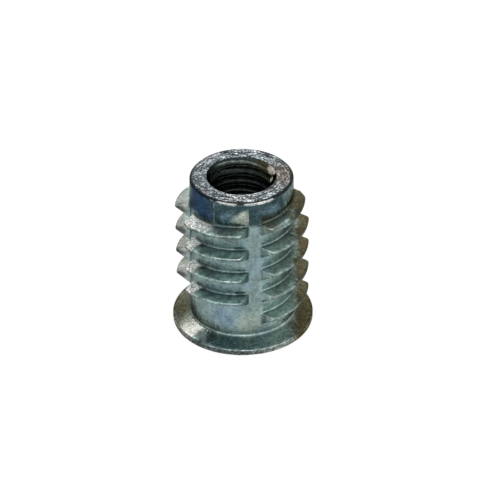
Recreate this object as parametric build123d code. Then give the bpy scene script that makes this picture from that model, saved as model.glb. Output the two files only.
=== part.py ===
from build123d import *
import math
import os

os.makedirs("parts", exist_ok=True)

# A flanged insert that screws into wood and takes a machine screw, die cast in zinc as one piece.
# It stands on its flange, with the pilot collar up. The origin is the centre of the flange face,
# and lengths are millimetres.

# Machine screw that the insert takes, and the spaces cut for it
screw_diameter = 6.0
screw_pitch = 1.0
mouth_clearance = 0.07
mouth_chamfer_angle = 50.0
socket_sides = 6
socket_clearance = 0.1
socket_depth = 4.3
socket_floor_angle = 60.0

# Barrel, pilot collar and flange
insert_length = 15.0
barrel_wall = 1.59
barrel_draft = 0.15
collar_height = 1.95
collar_bevel = 0.13
flange_width = 1.6
flange_rim_height = 0.58
flange_crown_rise = 0.46
flange_rim_bevel = 0.08
flange_root_fillet = 0.14

# Wood thread on the barrel: one right-hand start, flat on the side towards the collar
thread_height = 1.36
thread_pitch = 2.37
thread_start_height = 2.98
thread_start_bearing = -90.0
thread_crest_width = 0.26
thread_upper_angle = 4.5
thread_lower_angle = 28.0
lead_in_height = 0.65
lead_in_angle = 45.0

# Plain strips that run up the barrel and break the thread
strip_count = 4
strip_floor_width = 0.92
strip_side_angle = 42.0

# Overrun of cutting shapes, and depth of the thread's root below the barrel's skin
overrun = 0.3

# Radii that follow from the sizes above; the bore is drilled for tapping
bore_radius = (screw_diameter - screw_pitch) / 2
mouth_radius = screw_diameter / 2 + mouth_clearance
socket_radius = (screw_diameter + socket_clearance) / 2
collar_radius = screw_diameter / 2 + barrel_wall
barrel_base_radius = collar_radius + barrel_draft
flange_radius = barrel_base_radius + flange_width
crest_radius = collar_radius + thread_height
root_radius = collar_radius - overrun

# Height of the flange at the barrel, and height at which the collar starts
crown_height = flange_rim_height + flange_crown_rise
thread_end_height = insert_length - collar_height


def tan_deg(angle):
    """Tangent of an angle in degrees."""
    return math.tan(math.radians(angle))


def turned_blank():
    """Flange, tapered barrel, collar and bore, revolved about the axis."""
    mouth_depth = (mouth_radius - bore_radius) * tan_deg(mouth_chamfer_angle)
    outline = Polyline(
        (bore_radius, 0),
        (flange_radius - flange_rim_bevel, 0),
        (flange_radius, flange_rim_bevel),
        (flange_radius, flange_rim_height),
        (barrel_base_radius, crown_height),
        (collar_radius, insert_length - collar_bevel),
        (collar_radius - collar_bevel, insert_length),
        (mouth_radius, insert_length),
        (bore_radius, insert_length - mouth_depth),
        close=True,
    )
    section = make_face(outline)
    flange_root = section.vertices().sort_by_distance((barrel_base_radius, crown_height))[0]
    section = fillet(flange_root, flange_root_fillet)
    return revolve(Plane.XZ * section, Axis.Z)


def drive_socket():
    """Space of the hexagon socket, with the cone at its floor that leads into the bore."""
    hexagon = RegularPolygon(socket_radius, socket_sides, major_radius=False)
    well = Pos(0, 0, -overrun) * extrude(hexagon, socket_depth + overrun)
    cone_depth = (socket_radius - bore_radius) / tan_deg(socket_floor_angle)
    floor_cone = Pos(0, 0, socket_depth + cone_depth / 2) * Cone(socket_radius, bore_radius, cone_depth)
    return well + floor_cone


def thread_ridge():
    """The thread as one unbroken helical ridge; both of its ends fall in a strip."""
    ridge_depth = crest_radius - root_radius
    half_crest = thread_crest_width / 2
    outline = Polyline(
        (root_radius, -half_crest - ridge_depth * tan_deg(thread_lower_angle)),
        (crest_radius, -half_crest),
        (crest_radius, half_crest),
        (root_radius, half_crest + ridge_depth * tan_deg(thread_upper_angle)),
        close=True,
    )
    profile = Plane.XZ * make_face(outline)
    strip_rise = thread_pitch / strip_count
    strips_crossed = round((thread_end_height - thread_start_height) / strip_rise)
    helix = Helix(thread_pitch, strips_crossed * strip_rise, root_radius)
    ridge = sweep(profile, path=helix, is_frenet=True)
    return Pos(0, 0, thread_start_height) * Rot(0, 0, thread_start_bearing) * ridge


def strip_channels():
    """Channels with sloping sides that clear the thread from the plain strips."""
    inner = root_radius - overrun
    outer = crest_radius + overrun
    floor_half = strip_floor_width / 2
    mouth_half = floor_half + (outer - collar_radius) * tan_deg(strip_side_angle)
    outline = Polyline(
        (inner, -floor_half),
        (collar_radius, -floor_half),
        (outer, -mouth_half),
        (outer, mouth_half),
        (collar_radius, floor_half),
        (inner, floor_half),
        close=True,
    )
    channel = extrude(make_face(outline), insert_length)
    bearings = [thread_start_bearing + 360 * strip / strip_count for strip in range(strip_count)]
    return [Rot(0, 0, bearing) * channel for bearing in bearings]


def lead_in_ring():
    """Ring that trims the end of the thread at the collar to a cone, so that it enters the hole."""
    cone_start = thread_end_height - lead_in_height
    cone_top_radius = crest_radius - (insert_length - cone_start) * tan_deg(lead_in_angle)
    outline = Polyline(
        (crest_radius, cone_start),
        (crest_radius + overrun, cone_start),
        (crest_radius + overrun, insert_length),
        (cone_top_radius, insert_length),
        close=True,
    )
    return revolve(Plane.XZ * make_face(outline), Axis.Z)


def insert_body():
    """The whole insert as one solid."""
    thread = thread_ridge() - lead_in_ring() - strip_channels()
    return turned_blank() + thread - drive_socket()


body = insert_body()
export_step(body, "parts/insert_body.step")
print("insert_body", body.volume, body.bounding_box())
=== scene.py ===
import math

import bpy
from bpy.props import FloatProperty, FloatVectorProperty, PointerProperty
from mathutils import Matrix, Vector


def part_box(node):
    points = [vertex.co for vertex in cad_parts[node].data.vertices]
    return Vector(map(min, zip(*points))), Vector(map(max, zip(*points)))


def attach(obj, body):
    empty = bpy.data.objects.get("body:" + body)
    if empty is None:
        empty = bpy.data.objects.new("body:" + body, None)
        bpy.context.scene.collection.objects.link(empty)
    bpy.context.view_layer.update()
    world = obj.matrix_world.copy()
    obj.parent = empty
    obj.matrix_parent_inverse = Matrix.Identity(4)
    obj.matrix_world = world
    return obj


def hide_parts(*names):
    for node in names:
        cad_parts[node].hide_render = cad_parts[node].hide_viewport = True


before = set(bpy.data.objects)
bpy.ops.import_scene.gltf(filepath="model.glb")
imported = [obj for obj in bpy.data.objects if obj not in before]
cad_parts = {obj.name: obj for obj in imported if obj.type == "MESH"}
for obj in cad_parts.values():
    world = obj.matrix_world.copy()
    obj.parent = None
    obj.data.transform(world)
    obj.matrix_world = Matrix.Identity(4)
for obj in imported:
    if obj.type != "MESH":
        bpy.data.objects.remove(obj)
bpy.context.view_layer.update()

# A flanged zinc insert for wood: one die casting with a coarse broken thread outside and a tapped bore.
# Lengths are metres, +Z runs along the bore, and the origin is the centre of the flange face.

bl_info = {
    "name": "Threaded Insert",
    "version": (1, 0, 0),
    "blender": (4, 5, 0),
    "location": "View3D > Sidebar > Insert",
    "description": "Builds a flanged wood insert with its zinc finish and a small studio",
    "category": "Add Mesh",
}

MM = 0.001
BODY_LOW, BODY_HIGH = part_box("insert_body")

# Rows of the casting's grid, counted along its section from the socket's mouth round to the socket again
FACE_ROWS = 6
RIM_EDGE_ROWS = 3
RIM_ROWS = 4
CONE_ROWS = 9
FOOT_ROWS = 4
BELOW_THREAD_ROWS = 5
ABOVE_THREAD_ROWS = 7
BEVEL_ROWS = 3
TOP_ROWS = 9
MOUTH_EDGE_ROWS = 2
MOUTH_ROWS = 18
FINE_BORE_ROWS = 64
PLAIN_BORE_ROWS = 36
FLOOR_ROWS = 3
CORNER_ROWS = 1
SOCKET_ROWS = 6

# Rows of one turn of the wood thread, from the plain barrel below it to the plain barrel above it
TURNS = 5
LAND_ROWS = 3
FILLET_ROWS = 2
LOWER_FLANK_ROWS = 5
CREST_EDGE_ROWS = 2
CREST_ROWS = 2
UPPER_FLANK_ROWS = 7
UPPER_LAND_ROWS = 3

# Columns of one quarter of the casting, from the middle of one plain strip to the middle of the next
QUARTERS = 4
STRIP_FLOOR_COLUMNS = 4
STRIP_SIDE_COLUMNS = 11
STRIP_EDGE_COLUMNS = 3
RIDGE_COLUMNS = 12
PARTING_COLUMNS = 4

# Rise of the wood thread and narrowing of the barrel in one turn, in millimetres; some patches of the film
# come again on each ridge
TURN_RISE = 2.37
TURN_TAPER = 0.02

# Patches of the film, and some of painted light and shade as noted: colour, strength, and bearing in
# degrees, radius, height, reach in millimetres and how many times wider than high the patch is
COLLAR_SPOTS = (
    ("navy", 0.82, (-160, 4.6, 13.8, 2.6, 1.0)),
    ("blue", 0.4, (-120, 4.6, 13.4, 1.0, 1.0)),
    ("blue", 0.35, (-68, 4.6, 13.9, 1.4, 2.0)),
    ("zinc", 0.65, (-32, 4.6, 13.8, 2.4, 1.0)),
    ("navy", 0.7, (70, 4.6, 13.9, 1.8, 1.0)),
)
LEAF_SPOTS = (
    ("beige", 0.8, (-98, 4.6, 13.8, 0.7, 1.0)),
    ("beige", 0.8, (-102, 4.6, 13.3, 0.9, 1.0)),
    ("beige", 0.6, (-108, 4.6, 12.8, 0.8, 1.0)),
)
FACE_SPOTS = (
    ("amber", 0.25, (-10, 4.2, 15.0, 2.6, 1.0)),
    ("cut", 0.22, (-8, 4.2, 15.0, 2.4, 1.0)),
    # A faint painted highlight on the side towards the camera
    ("bare_and_highlight", 0.06, (-103, 3.8, 15.0, 2.6, 1.0)),
)
# On the flange, the olive patches are olive film darkened to stand for a dark reflection, painted shade;
# the dull patch is a painted highlight where the key lamp shines, and the dark patch beside it painted
# shade
FLANGE_SPOTS = (
    ("olive", 0.68, (178, 6.3, 0.6, 3.6, 1.0)),
    ("olive", 0.75, (150, 6.0, 0.7, 3.0, 1.0)),
    ("dull", 0.7, (-161, 5.6, 0.8, 1.4, 1.0)),
    ("shade_black", 0.8, (-139, 5.7, 0.7, 1.2, 1.0)),
)
# Among these, the beige patch low at -52 is a painted pool of light under the lowest ridge, and the dark
# patch at -117 painted shade under the highest ridge
BARREL_SPOTS = (
    ("olive", 0.5, (-74, 5.2, 12.6, 1.3, 1.0)),
    ("olive", 0.55, (-50, 5.3, 12.5, 1.3, 1.0)),
    ("olive", 0.9, (-28, 5.3, 12.8, 2.0, 1.0)),
    ("olive", 0.8, (-5, 5.3, 13.0, 1.8, 1.0)),
    ("beige", 0.35, (-52, 4.75, 1.8, 2.0, 1.0)),
    ("flank", 0.45, (-56, 4.7, 2.4, 2.4, 1.0)),
    ("deep", 0.14, (-88, 4.65, 6.8, 1.1, 0.16)),
    ("flank", 0.35, (-76, 4.65, 6.4, 0.9, 0.17)),
    ("blue", 0.7, (-123, 4.7, 2.7, 1.3, 1.0)),
    ("blue", 0.3, (-122, 4.7, 4.0, 2.2, 1.0)),
    ("blue", 0.4, (-85, 4.6, 8.5, 1.6, 1.0)),
    ("beige", 0.5, (-95, 4.7, 2.2, 1.5, 1.0)),
    ("olive", 0.4, (120, 5.0, 6.0, 4.0, 1.0)),
    ("shade_black", 0.55, (-117, 5.2, 11.9, 1.5, 1.0)),
)
# Painted shadows on the barrel just above the ridge roots, near the ridges' left ends and at the front
ROOT_SHADOW_SPOTS = (
    *(
        ("shade_black", 0.6, (-155, 4.7 - TURN_TAPER * turn, 5.25 + TURN_RISE * turn, 1.0, 3.0))
        for turn in range(3)
    ),
    ("shade_black", 0.8, (-160, 4.62, 12.36, 1.1, 3.0)),
    ("shade_black", 0.8, (-144, 4.62, 12.48, 1.1, 3.0)),
    ("shade_black", 0.8, (-106, 4.66, 5.66, 0.7, 3.5)),
    ("shade_black", 0.6, (-104, 4.64, 8.03, 0.7, 3.5)),
    ("shade_black", 0.8, (-105, 4.62, 10.4, 0.8, 3.5)),
    ("shade_black", 0.8, (-106, 4.6, 12.78, 0.8, 3.5)),
)
RIDGE_SPOTS = (
    ("amber", 0.6, (-20, 5.8, 7.4, 1.3, 1.0)),
    ("amber", 0.35, (-14, 5.8, 5.0, 1.2, 1.0)),
    ("amber", 0.25, (-10, 5.8, 12.2, 1.3, 1.0)),
    ("dull", 0.3, (-25, 5.8, 9.4, 0.9, 1.0)),
    ("dull", 0.4, (-26, 5.8, 4.6, 0.9, 1.0)),
)

# Painted highlight on the flank of the highest ridge, and painted shade along the lower edges of the lit
# ridge ends and of the ridge ends past the strip on -X: strength and patch
LIT_FLANK_SPOTS = (
    (0.9, (-152, 5.3, 12.1, 2.0, 1.0)),
    (0.7, (-140, 5.3, 12.2, 1.0, 1.0)),
)
SHADED_EDGE_SPOTS = (
    *((0.75, (169, 5.6, 4.6 + TURN_RISE * turn, 0.9, 2.0)) for turn in range(4)),
    *((0.75, (-158, 5.85, 4.76 + TURN_RISE * turn, 1.0, 4.0)) for turn in range(3)),
    (0.9, (-158, 5.85, 11.87, 1.0, 4.0)),
    (0.9, (-146, 5.85, 11.95, 1.0, 4.0)),
    (0.9, (-134, 5.85, 12.03, 1.0, 4.0)),
)

# Ridge tips beside the strip on -Y whose edges are worn and get a painted highlight all along, the dark gap
# in the painted highlight on the collar's bevel, and painted glints and olive places on the mouth of the
# bore
RUBBED_AND_LIT_TIPS = tuple((-79, 5.2, height, 1.0, 1.0) for height in (2.9, 5.3, 7.65, 10.0, 12.4))
BEVEL_HIGHLIGHT_GAP = (-105, 4.5, 14.9, 0.55, 1.0)
MOUTH_GLINTS = (
    (17, 2.92, 14.8, 0.36, 1.0),
    (9, 2.93, 14.82, 0.42, 1.0),
    (0, 2.96, 14.86, 0.34, 1.0),
    (-11, 2.6, 14.36, 0.4, 1.0),
)
MOUTH_OLIVE = (30, 3.0, 14.8, 1.4, 1.0)

# Sides of the casting: bearing in degrees, and start and span of the change in millimetres from the axis
OLIVE_SIDE = (-16, 4.6, 0.55)
WARM_SIDE = (-30, 1.8, 2.6)
DULL_SIDE = (172, 4.4, 0.6)
# The collar's bevel gets a painted highlight on this side, the side towards the camera
BEVEL_HIGHLIGHT_SIDE = (-102, 3.8, 0.15)
# On this side the crest edges get little worn metal and painted highlight, and painted shade instead
DIM_CREST_SIDE = (-30, 3.3, 1.2)
# The leaf of thin film on the collar stops here, at the side of the strip on -Y
LEAF_SIDE = (180, 0.44, 0.04)

# Sides of the bore on which the screw thread gets painted light, given in the same way
LIT_BORE_SIDES = ((93, 2.15, 0.45), (51, 2.35, 0.3))

# Bearing along which, and opposite which, the streaks of the faced end get the strongest painted sheen
FACED_SHEEN_BEARING = -103

# Heights and distances from the axis at which the skin changes: start and span
RIM_TOP = (0.45 * MM, 0.15 * MM)
FLANGE_TOP = (1.1 * MM, 0.1 * MM)
FOOT_TOP = (1.3 * MM, 0.2 * MM)
LIT_BORE = (11.4 * MM, 2.6 * MM)
DIP_LINE = (12.35 * MM, 0.5 * MM)
MOUTH_START = (14.3 * MM, 0.2 * MM)
COLLAR_END = (14.6 * MM, 0.1 * MM)
BEVEL_MIDDLE = (14.9 * MM, 0.04 * MM)
FACE_OUTER = (4.28 * MM, 0.12 * MM)
FLANGE_REACH = (4.9 * MM, 0.9 * MM)

# Shares of the ridge's height over which a ridge starts, leaves its foot and shows its flank
RIDGE_START = (0.05, 0.2)
RIDGE_FOOT = (0.1, 0.2)
RIDGE_FLANK = (0.1, 0.6)

# Noise: features per metre, detail and roughness
FILM_NOISE = (0.6 / MM, 4.0, 0.6)
BLOTCH_NOISE = (1.5 / MM, 3.0)
PATCH_NOISE = (1.1 / MM, 2.0)
MOTTLE_NOISE = (3.0 / MM, 4.0, 0.7)
SPARKLE_NOISE = (6.0 / MM, 1.0)
CLUSTER_NOISE = (1.2 / MM, 1.0)
DASH_NOISE = (0.9 / MM, 3.0)
STREAK_NOISE = (6.0 / MM, 2.0, 0.6)
TOOL_MARK_NOISE = (4.0 / MM, 2.0)
GRAINS_PER_METRE = 4.0 / MM
DENTS_PER_METRE = 0.9 / MM
NOISE_MIDDLE = 0.5

# How far the film's lower line on the collar, and the edge of a side's film, wander
DIP_WANDER = 1.6 * MM
SIDE_WANDER = 2.0 * MM

# How strongly each coat covers what is under it
COVER = {
    "pooled": 0.6,
    "flange": 0.2,
    "rim": 0.8,
    "flank": 0.8,
    "blotch": 0.5,
    "faced": 0.95,
    "warm": 0.3,
    "olive": 0.95,
    "dull": 0.9,
    "bevel": 0.9,
    "corner": 0.3,
    "foot": 0.7,
    "crest": 0.5,
    "under": 0.85,
    "shaded_crest_edge": 0.7,
    "lit_ridge_end": 0.85,
    "mouth": 0.6,
    "glint": 0.9,
}

# Values that change over the skin: on plain skin, and what each part of the casting adds
GRAIN_CONTRAST = {
    "plain": 0.1,
    "ridge": 0.25,
    "top_face": 0.2,
    "on_rim": 0.4,
    "on_flange": 0.2,
    "on_collar": 0.2,
}
MOTTLE = {"plain": 1.3, "ridge": 1.5, "on_flange": 0.6}
ROUGHNESS = {"plain": 0.28, "top_face": 0.06, "lit_ridge_end": 0.16, "ridge": 0.1}
RELIEF_DEPTH = {"plain": 0.4, "ridge": 0.4, "top_face": 0.28, "lit_ridge_end": -0.45, "on_flange": -0.3}

# Soft boxes: azimuth and elevation in degrees, side in metres and power in watts
LAMP_DISTANCE = 0.3
LAMPS = {
    "back_lamp": (167, 27, 0.17, 0.14),
    "key_lamp": (-155, 49, 0.065, 0.105),
    "front_lamp": (-13, 23, 0.06, 0.05),
}


def length_setting(label, about, default):
    """A length that the user can change, in metres."""
    return FloatProperty(name=label, description=about, default=default, unit="LENGTH")


def angle_setting(label, about, degrees):
    """An angle that the user can change."""
    return FloatProperty(name=label, description=about, default=math.radians(degrees), subtype="ANGLE")


def number_setting(label, about, default):
    """A plain number that the user can change."""
    return FloatProperty(name=label, description=about, default=default)


def colour_setting(label, about, default):
    """A colour that the user can change."""
    return FloatVectorProperty(
        name=label, description=about, default=default, size=3, subtype="COLOR", min=0.0, max=1.0
    )


class InsertSizes(bpy.types.PropertyGroup):
    """Sizes of the casting; each one is also an input of its node tree."""

    length: length_setting(
        "Length", "From the flange face to the end of the collar", BODY_HIGH[2] - BODY_LOW[2]
    )
    flange_radius: length_setting("Flange Radius", "Outer radius of the flange", BODY_HIGH[0])
    rim_height: length_setting("Rim Height", "Height of the upright edge of the flange", 0.58 * MM)
    crown_height: length_setting(
        "Crown Height", "Height of the flange where it meets the barrel", 1.04 * MM
    )
    collar_radius: length_setting("Collar Radius", "Radius of the pilot collar", 4.59 * MM)
    barrel_draft: length_setting(
        "Barrel Draft", "How much the barrel widens from the collar down to the flange", 0.15 * MM
    )
    collar_bevel: length_setting("Collar Bevel", "Bevel at the end of the collar", 0.19 * MM)
    foot_fillet: length_setting("Foot Fillet", "Reach of the fillet between flange and barrel", 0.17 * MM)
    thread_height: length_setting(
        "Thread Height", "Height of the wood thread above the collar's radius", 1.36 * MM
    )
    thread_pitch: length_setting("Thread Pitch", "Rise of the wood thread in one turn", TURN_RISE * MM)
    thread_start: length_setting(
        "Thread Start", "Height of the first crest, in the strip on -Y", 2.98 * MM
    )
    thread_turns: number_setting("Thread Turns", "Turns of the wood thread", 4.25)
    crest_width: length_setting("Crest Width", "Width of the wood thread at its crest", 0.26 * MM)
    upper_angle: angle_setting("Upper Flank", "Slope of the flank towards the collar", 4.5)
    lower_angle: angle_setting("Lower Flank", "Slope of the flank towards the flange", 28.0)
    root_fillet: length_setting(
        "Root Fillet", "Reach of the fillet between the wood thread and the barrel", 0.14 * MM
    )
    edge_round: length_setting("Edge Round", "Rounding of the casting's outer edges", 0.07 * MM)
    crest_round: length_setting("Crest Round", "Rounding of the wood thread's crest", 0.1 * MM)
    lead_in: length_setting(
        "Lead-In Height", "Height from which a 45 degree cone trims the end of the thread", 12.4 * MM
    )
    strip_half: length_setting(
        "Strip Half Width", "Half the width of the plain strips that break the thread", 0.46 * MM
    )
    strip_angle: angle_setting(
        "Strip Side Angle", "Opening of each side of a strip from its middle line", 42.0
    )
    side_widening: angle_setting(
        "Side Strip Widening", "How much further the strip on -X opens towards -Y", 3.0
    )
    bore_radius: length_setting("Bore Radius", "Radius inside the crests of the screw thread", 2.5 * MM)
    screw_pitch: length_setting("Screw Pitch", "Rise of the screw thread in one turn", 1.0 * MM)
    screw_depth: length_setting("Screw Groove Depth", "Depth of the screw thread's groove", 0.52 * MM)
    screw_phase: number_setting(
        "Screw Phase", "Turn of the screw thread about the axis, as a share of one turn", -0.237
    )
    mouth_radius: length_setting("Mouth Radius", "Radius of the countersunk mouth of the bore", 3.07 * MM)
    mouth_angle: angle_setting("Mouth Angle", "Slope of the countersunk mouth", 50.0)
    socket_radius: length_setting(
        "Socket Radius", "Half the distance across the flats of the hexagon socket", 3.05 * MM
    )
    socket_depth: length_setting(
        "Socket Depth", "Depth of the hexagon socket to the start of its floor cone", 4.3 * MM
    )
    parting_height: length_setting(
        "Parting Line", "Height of the fine line that the mould's halves leave", 0.022 * MM
    )
    skin_waves: length_setting("Skin Waves", "Depth of the shallow dents of the cast skin", 0.007 * MM)


class InsertFinish(bpy.types.PropertyGroup):
    """Colours of the passivated zinc, of the light and shade painted on it, and of the studio."""

    zinc: colour_setting("Zinc", "Colour of the clear passivated skin", (0.225, 0.31, 0.297))
    blue: colour_setting("Blue Film", "Colour where the film pooled", (0.17, 0.26, 0.33))
    navy: colour_setting("Navy Film", "Colour where the film is thickest", (0.02, 0.045, 0.10))
    olive: colour_setting("Olive Film", "Colour where the film has a yellow cast", (0.106, 0.09, 0.041))
    # Also used for the painted highlight at the barrel's foot, painted light on the bore's thread and a
    # painted pool of light low on the barrel
    beige: colour_setting("Thin Film", "Colour where the film dried thin", (0.36, 0.41, 0.35))
    flank: colour_setting("Flank", "Colour of the ridges of the wood thread", (0.46, 0.65, 0.6))
    deep: colour_setting(
        "Deep Film", "Colour of the film on the collar and in corners", (0.032, 0.062, 0.07)
    )
    faced: colour_setting("Faced End", "Colour of the grainy end face", (0.176, 0.195, 0.207))
    # Dark colour used for painted shade: the ring on the collar's bevel, the bore, and shade at ridge
    # roots, under ridge ends and on the flange
    shade_black: colour_setting(
        "Black Film", "Colour of the dark ring on the collar's bevel", (0.02, 0.026, 0.026)
    )
    # Exposed metal on worn edges, also used for painted highlights
    bare_and_highlight: colour_setting("Bare Edge", "Colour of the metal on rubbed edges", (0.78, 0.8, 0.77))
    # Dark base colour of the tapped bore, painted shade of the deep bore
    cut: colour_setting("Cut Metal", "Colour of the tapped bore", (0.032, 0.045, 0.037))
    # A dark colour that is painted shade: the reflected shadow at the foot of the rim
    rim: colour_setting("Rim", "Colour of the upright edge of the flange", (0.06, 0.063, 0.062))
    dull: colour_setting(
        "Dull Zinc", "Colour of the ridges where the film is worn dull", (0.29, 0.292, 0.27)
    )
    grazing: colour_setting(
        "Grazing Tint", "Tint of the zinc's reflection at its outline", (0.5, 0.5, 0.47)
    )
    # Colour of the painted glints on the mouth of the bore
    thin: colour_setting(
        "Mouth Glint", "Colour of the bright places on the mouth of the bore", (0.6, 0.57, 0.48)
    )
    amber: colour_setting("Amber Film", "Colour of a warm patch of the film", (0.3, 0.16, 0.06))
    floor: colour_setting("Floor", "Colour of the studio floor", (0.25, 0.25, 0.25))


def feed(tree, socket, value):
    """Links a field to a socket, or sets a plain value on it."""
    if isinstance(value, Field):
        tree.links.new(value.socket, socket)
    else:
        socket.default_value = value


class Field:
    """A number in a node tree, written as plain arithmetic."""

    def __init__(self, tree, socket):
        self.tree = tree
        self.socket = socket

    def math(self, operation, *others):
        """The result of a Math node whose first input is this field."""
        return field_math(self.tree, operation, self, *others)

    def __add__(self, other):
        return self.math("ADD", other)

    def __radd__(self, other):
        return self.math("ADD", other)

    def __sub__(self, other):
        return self.math("SUBTRACT", other)

    def __rsub__(self, other):
        return field_math(self.tree, "SUBTRACT", other, self)

    def __mul__(self, other):
        return self.math("MULTIPLY", other)

    def __rmul__(self, other):
        return self.math("MULTIPLY", other)

    def __truediv__(self, other):
        return self.math("DIVIDE", other)

    def __rtruediv__(self, other):
        return field_math(self.tree, "DIVIDE", other, self)

    def __neg__(self):
        return self.math("MULTIPLY", -1.0)

    def above(self, other):
        """1 where the field is greater than the other, else 0."""
        return self.math("GREATER_THAN", other)

    def below(self, other):
        """1 where the field is less than the other, else 0."""
        return self.math("LESS_THAN", other)

    def ramp(self, start, span, kind="LINEAR"):
        """Rises from 0 to 1 as the field goes from start to start + span."""
        node = self.tree.nodes.new("ShaderNodeMapRange")
        node.interpolation_type = kind
        feed(self.tree, node.inputs["Value"], self)
        feed(self.tree, node.inputs["From Min"], start)
        feed(self.tree, node.inputs["From Max"], start + span)
        return Field(self.tree, node.outputs["Result"])


def field_math(tree, operation, *values):
    """A Math node fed with fields and plain numbers."""
    node = tree.nodes.new("ShaderNodeMath")
    node.operation = operation
    for socket, value in zip(node.inputs, values):
        feed(tree, socket, value)
    return Field(tree, node.outputs["Value"])


def vector_math(tree, operation, first, second=None):
    """A Vector Math node fed with a socket and, where it needs one, a plain vector."""
    node = tree.nodes.new("ShaderNodeVectorMath")
    node.operation = operation
    tree.links.new(first, node.inputs[0])
    if second is not None:
        node.inputs[1].default_value = second
    return node


def coordinates(tree, place):
    """The X, Y and Z of a place, as fields."""
    split = tree.nodes.new("ShaderNodeSeparateXYZ")
    tree.links.new(place, split.inputs["Vector"])
    return [Field(tree, split.outputs[axis]) for axis in "XYZ"]


class Outline:
    """Radius and height of the casting's section, laid point by point along the grid's rows."""

    def __init__(self, row, radius, height):
        self.row = row
        self.at = 0
        self.end = (radius, height)
        self.radius = radius
        self.height = height

    def to(self, radius, height, rows):
        """Goes straight to a point in the given number of rows."""
        share = self.row.ramp(self.at, rows)
        self.radius = self.radius + (radius - self.end[0]) * share
        self.height = self.height + (height - self.end[1]) * share
        self.end = (radius, height)
        self.at += rows

    def round_to(self, corner, radius, height, rows):
        """Goes round a corner to a point, by the middle of the curve between them."""
        stops = zip(self.end, corner, (radius, height))
        middle = [start / 4 + turn / 2 + stop / 4 for start, turn, stop in stops]
        half = rows // 2
        self.to(*middle, half)
        self.to(radius, height, rows - half)


def new_tree(name):
    """An empty Geometry Nodes tree with a geometry socket at each end."""
    tree = bpy.data.node_groups.new(name, "GeometryNodeTree")
    tree.interface.new_socket(name="Geometry", in_out="INPUT", socket_type="NodeSocketGeometry")
    tree.interface.new_socket(name="Geometry", in_out="OUTPUT", socket_type="NodeSocketGeometry")
    return tree


def pass_through(tree, geometry, kind):
    """Adds a node that takes the geometry."""
    node = tree.nodes.new(kind)
    tree.links.new(geometry, node.inputs["Geometry"])
    return node


def size_inputs(tree):
    """Makes an input for each size and returns the sizes as fields, by name."""
    properties = InsertSizes.bl_rna.properties
    names = list(InsertSizes.__annotations__)
    for name in names:
        socket = tree.interface.new_socket(
            name=properties[name].name, in_out="INPUT", socket_type="NodeSocketFloat"
        )
        socket.description = properties[name].description
        socket.default_value = properties[name].default
    source = tree.nodes.new("NodeGroupInput")
    return {name: Field(tree, source.outputs[properties[name].name]) for name in names}


def strip_wall(size):
    """Distance from the axis to the plane of a strip's side."""
    sine = size["strip_angle"].math("SINE")
    cosine = size["strip_angle"].math("COSINE")
    return size["collar_radius"] * sine - size["strip_half"] * cosine


def quarter_columns():
    """Columns in one quarter of the casting."""
    strip = STRIP_FLOOR_COLUMNS + STRIP_SIDE_COLUMNS + STRIP_EDGE_COLUMNS
    return 2 * (strip + RIDGE_COLUMNS + PARTING_COLUMNS // 2)


def column_angles(size, column):
    """Where each column lies, and what the strips do there.

    Gives its angle from -Y and from the middle of the nearest strip, how much wider the strip opens, a mask
    of the ridge ends at the strip on -X, and 1 in the half of a quarter that runs towards the next strip.
    """
    parting_half = math.radians(0.8)
    edge_reach = math.radians(2.5)
    bright_reach = math.radians(6.5)
    bright_fade = math.radians(6)
    quarter_turn = math.tau / QUARTERS
    before_last = QUARTERS - 1.5
    quarter = (column / quarter_columns()).math("FLOOR")
    place = column - quarter * quarter_columns()
    mirrored = place.above(quarter_columns() / 2)
    near = place + mirrored * (quarter_columns() - 2 * place)
    side_strip = quarter.above(before_last) * (1.0 - mirrored)

    wall = strip_wall(size)
    crest = size["collar_radius"] + size["thread_height"]
    wider = side_strip * size["side_widening"]
    floor_edge = size["strip_angle"] - (wall / size["collar_radius"]).math("ARCSINE") + wider
    crest_edge = size["strip_angle"] - (wall / crest).math("ARCSINE") + wider
    ridge_edge = crest_edge + edge_reach
    parting_edge = quarter_turn / 2 - parting_half

    stops = [
        (floor_edge, STRIP_FLOOR_COLUMNS),
        (crest_edge - floor_edge, STRIP_SIDE_COLUMNS),
        (ridge_edge - crest_edge, STRIP_EDGE_COLUMNS),
        (parting_edge - ridge_edge, RIDGE_COLUMNS),
        (parting_half, PARTING_COLUMNS // 2),
    ]
    strip_angle = 0.0
    at = 0
    for span, columns in stops:
        strip_angle = near.ramp(at, columns) * span + strip_angle
        at += columns
    angle = quarter * quarter_turn + strip_angle + mirrored * (quarter_turn - 2 * strip_angle)
    from_edge = (strip_angle - crest_edge).ramp(bright_reach, bright_fade, "SMOOTHSTEP")
    return angle, strip_angle, wider, side_strip * (1.0 - from_edge), mirrored


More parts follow.
